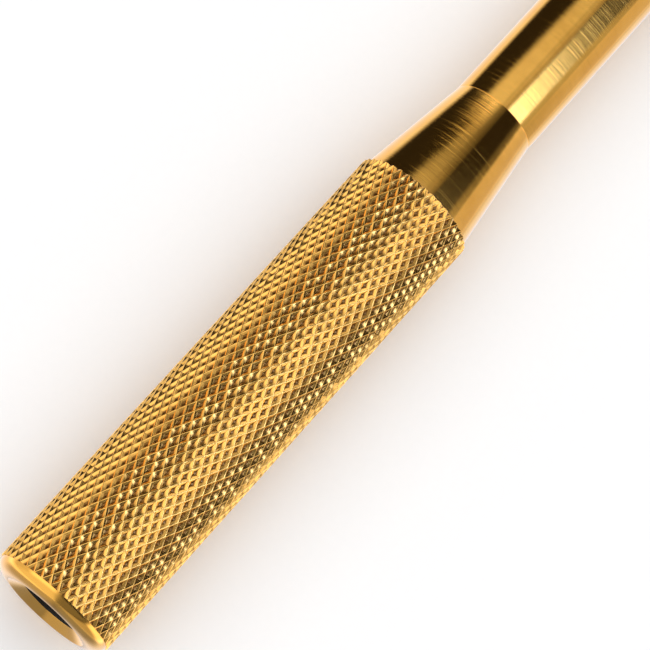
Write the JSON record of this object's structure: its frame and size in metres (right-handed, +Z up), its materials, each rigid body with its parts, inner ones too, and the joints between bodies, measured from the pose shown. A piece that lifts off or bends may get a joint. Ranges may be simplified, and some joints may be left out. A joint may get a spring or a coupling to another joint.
{
  "type": "pocket direct-vision spectroscope",
  "caption": "Slim turned-brass direct-vision spectroscope with a diamond-knurled grip, a short taper, a focusing slit tube and an adjustable slit ring.",
  "frame": {"origin": "on the optical axis, in the plane of the eye cap's rim", "axes": "+X along the optical axis from the eye to the slit, +Z up when it lies level, +Y to the left, the slit stands along Z"},
  "size_m": [0.1424, 0.018, 0.018],
  "materials": {
    "lacquered_brass": "turned and knurled brass under clear lacquer",
    "blackened_brass": "matt optical black",
    "steel": "fine ground",
    "crown_glass": "polished, slightly blue-green",
    "flint_glass": "polished, slightly yellow",
    "window_glass": "polished",
    "cork": "sheet cork",
    "felt": "pressed felt"
  },
  "bodies": {
    "barrel": {"eye_cap": "lacquered_brass", "eye_window": "window_glass", "eye_window_ring": "blackened_brass", "grip_barrel": "lacquered_brass", "prism_cell": "blackened_brass", "prism_lock_ring": "blackened_brass", "prism_stop_plate": "blackened_brass", "rear_crown_prism": "crown_glass", "rear_flint_prism": "flint_glass", "middle_crown_prism": "crown_glass", "front_flint_prism": "flint_glass", "front_crown_prism": "crown_glass", "prism_pads": "cork", "lens_cell": "blackened_brass", "crown_lens": "crown_glass", "flint_lens": "flint_glass", "lens_ring": "blackened_brass", "taper_collar": "lacquered_brass", "light_baffle": "blackened_brass", "front_tube": "lacquered_brass", "guide_bush": "lacquered_brass", "felt_ring": "felt"},
    "slit_tube": {"slit_tube": "lacquered_brass", "stop_collar": "blackened_brass", "slit_hub": "lacquered_brass", "ring_stop_pin": "steel", "wave_washer": "steel", "jaw_carrier": "blackened_brass", "nose_cap": "lacquered_brass", "nose_screws": "steel", "slit_window": "window_glass", "slit_window_ring": "blackened_brass"},
    "slit_ring": {"slit_ring": "lacquered_brass", "cam_plate": "steel", "cam_screws": "blackened_brass"},
    "left_jaw": {"left_jaw": "steel"},
    "right_jaw": {"right_jaw": "steel"}
  },
  "joints": [
    {"name": "focus_slide", "type": "slide", "parent": "barrel", "child": "slit_tube", "axis": [1, 0, 0], "range_m": [-0.004, 0.006]},
    {"name": "slit_turn", "type": "hinge", "parent": "slit_tube", "child": "slit_ring", "pos_m": [0.13715, 0, 0], "axis": [1, 0, 0], "range_deg": [0, 120]},
    {"name": "left_jaw_slide", "type": "slide", "parent": "slit_tube", "child": "left_jaw", "axis": [0, 1, 0], "range_m": [0, 0.0006]},
    {"name": "right_jaw_slide", "type": "slide", "parent": "slit_tube", "child": "right_jaw", "axis": [0, -1, 0], "range_m": [0, 0.0006]}
  ],
  "couplings": [
    {"joint": "left_jaw_slide", "follows": "slit_turn", "m_per_rad": 0.000286},
    {"joint": "right_jaw_slide", "follows": "slit_turn", "m_per_rad": 0.000286}
  ]
}
